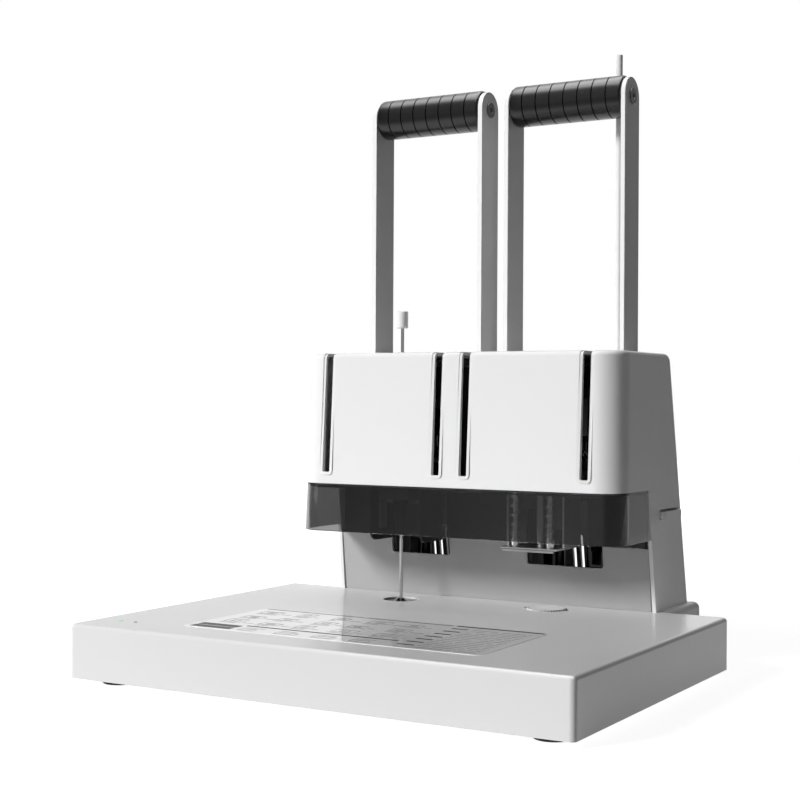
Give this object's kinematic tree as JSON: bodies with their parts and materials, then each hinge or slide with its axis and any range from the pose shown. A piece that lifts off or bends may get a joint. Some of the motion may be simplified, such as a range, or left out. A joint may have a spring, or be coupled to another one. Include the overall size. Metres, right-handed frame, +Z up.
{
  "type": "document riveting machine",
  "caption": "Desk machine that drills and hot-rivets stacks of paper: lever handles on a white tower over a wide flat base, with a smoked guard and a standing tube.",
  "frame": {"origin": "centre of the footprint, on the surface that the machine stands on", "axes": "+Z up, the front with the open throat towards -Y, the drilling station towards +X"},
  "size_m": [0.4, 0.367, 0.4903],
  "materials": {
    "white_paint": "fine powder coat",
    "grey_paint": "satin powder coat",
    "black_steel": "matt black coat",
    "zinc_steel": "zinc plated, satin",
    "bright_steel": "ground",
    "handle_paint": "silver lacquer",
    "chrome": "polished",
    "tool_steel": "hardened, dark",
    "cast_metal": "cast, bead blasted",
    "smoked_guard": "smoked clear sheet",
    "black_rubber": "matt",
    "black_plastic": "moulded, fine grain",
    "pad_plastic": "moulded",
    "white_nylon": "translucent white",
    "label_film": "glossy film",
    "bronze": "sintered",
    "mica": "rigid insulating board",
    "light_lens": "clear lens",
    "board": "circuit board"
  },
  "bodies": {
    "root": {"base_cover": "white_paint", "base_plate": "zinc_steel", "rubber_feet": "black_rubber", "rear_plinth": "white_paint", "status_lights": "light_lens", "label": "label_film", "die_seat": "black_steel", "lower_die": "chrome", "housing": "white_paint", "rear_cover": "white_paint", "back_wall": "grey_paint", "chassis_plate": "black_steel", "visor": "smoked_guard", "head_floor": "black_steel", "needle_bush": "chrome", "tube_guide": "white_nylon", "cutter_bracket": "zinc_steel", "tube_chute": "zinc_steel", "power_inlet": "black_plastic", "switch_bezel": "black_plastic", "control_board": "board", "cover_screws": "zinc_steel", "pivot_bushes": "bronze", "guide_rods": "bright_steel", "return_springs": "bright_steel", "rivet_frame": "zinc_steel", "drill_frame": "zinc_steel"},
    "rivet_handle": {"rivet_arms": "handle_paint", "rivet_handle_bars": "bright_steel", "rivet_end_screws": "chrome", "rivet_gear": "bright_steel"},
    "rivet_grip_sleeve": {"rivet_grip": "black_rubber"},
    "rivet_carriage": {"rivet_yoke": "cast_metal", "rivet_rack": "bright_steel", "rivet_bracket": "zinc_steel", "insulator": "mica", "heater_block": "bronze", "upper_die": "tool_steel"},
    "needle": {"needle_rod": "chrome", "needle_knob": "chrome"},
    "drill_handle": {"drill_arms": "handle_paint", "drill_handle_bars": "bright_steel", "drill_end_screws": "chrome", "drill_gear": "bright_steel"},
    "drill_grip_sleeve": {"drill_grip": "black_rubber"},
    "drill_carriage": {"drill_yoke": "cast_metal", "drill_rack": "bright_steel", "spindle_housing": "cast_metal", "spindle_bearings": "bright_steel", "drill_motor": "black_steel"},
    "drill_spindle": {"drill_chuck": "bright_steel", "hollow_drill": "bright_steel"},
    "presser": {"presser_foot": "zinc_steel", "presser_rods": "chrome", "presser_springs": "bright_steel"},
    "pad": {"drill_pad": "pad_plastic"},
    "cutter": {"cutter_lever": "white_paint", "cutter_blade": "tool_steel"},
    "tube": {"rivet_tube": "white_nylon"},
    "rocker": {"power_rocker": "black_plastic"}
  },
  "joints": [
    {"name": "rivet_handle_swing", "type": "hinge", "parent": "root", "child": "rivet_handle", "pos_m": [-0.0633, 0.116, 0.171], "axis": [1, 0, 0], "range_deg": [0, 93], "stiffness_Nm_per_rad": 1.3, "springref_deg": -45.84},
    {"name": "rivet_carriage_slide", "type": "slide", "parent": "root", "child": "rivet_carriage", "axis": [0, 0, -1], "range_m": [0, 0.0475]},
    {"name": "rivet_grip_roll", "type": "hinge", "parent": "rivet_handle", "child": "rivet_grip_sleeve", "pos_m": [-0.0633, 0.116, 0.452], "axis": [1, 0, 0], "continuous": true},
    {"name": "drill_handle_swing", "type": "hinge", "parent": "root", "child": "drill_handle", "pos_m": [0.0633, 0.116, 0.171], "axis": [1, 0, 0], "range_deg": [0, 93], "stiffness_Nm_per_rad": 1.3, "springref_deg": -45.84},
    {"name": "drill_carriage_slide", "type": "slide", "parent": "root", "child": "drill_carriage", "axis": [0, 0, -1], "range_m": [0, 0.0475]},
    {"name": "drill_grip_roll", "type": "hinge", "parent": "drill_handle", "child": "drill_grip_sleeve", "pos_m": [0.0633, 0.116, 0.452], "axis": [1, 0, 0], "continuous": true},
    {"name": "needle_lift", "type": "slide", "parent": "root", "child": "needle", "axis": [0, 0, 1], "range_m": [0, 0.05]},
    {"name": "drill_spin", "type": "hinge", "parent": "drill_carriage", "child": "drill_spindle", "pos_m": [0.0633, 0.063, 0.151], "axis": [0, 0, 1], "continuous": true},
    {"name": "presser_slide", "type": "slide", "parent": "drill_carriage", "child": "presser", "axis": [0, 0, 1], "range_m": [0, 0.0385], "stiffness_N_per_m": 300, "springref_m": -0.012, "deforming": ["presser_springs"]},
    {"name": "pad_turn", "type": "hinge", "parent": "root", "child": "pad", "pos_m": [0.0633, 0.0738, 0.0445], "axis": [0, 0, 1], "continuous": true},
    {"name": "cutter_swing", "type": "hinge", "parent": "root", "child": "cutter", "pos_m": [0.131, 0.1495, 0.119], "axis": [0, 0, 1], "range_deg": [0, 12], "stiffness_Nm_per_rad": 0.1, "springref_deg": -11.46},
    {"name": "tube_lift", "type": "slide", "parent": "root", "child": "tube", "axis": [0, 0, 1], "range_m": [0, 0.04]},
    {"name": "rocker_tip", "type": "hinge", "parent": "root", "child": "rocker", "pos_m": [0.021, 0.16958, 0.0745], "axis": [1, 0, 0], "range_deg": [-16, 0]}
  ],
  "couplings": [
    {"joint": "rivet_carriage_slide", "follows": "rivet_handle_swing", "m_per_rad": 0.02925},
    {"joint": "drill_carriage_slide", "follows": "drill_handle_swing", "m_per_rad": 0.02925}
  ]
}
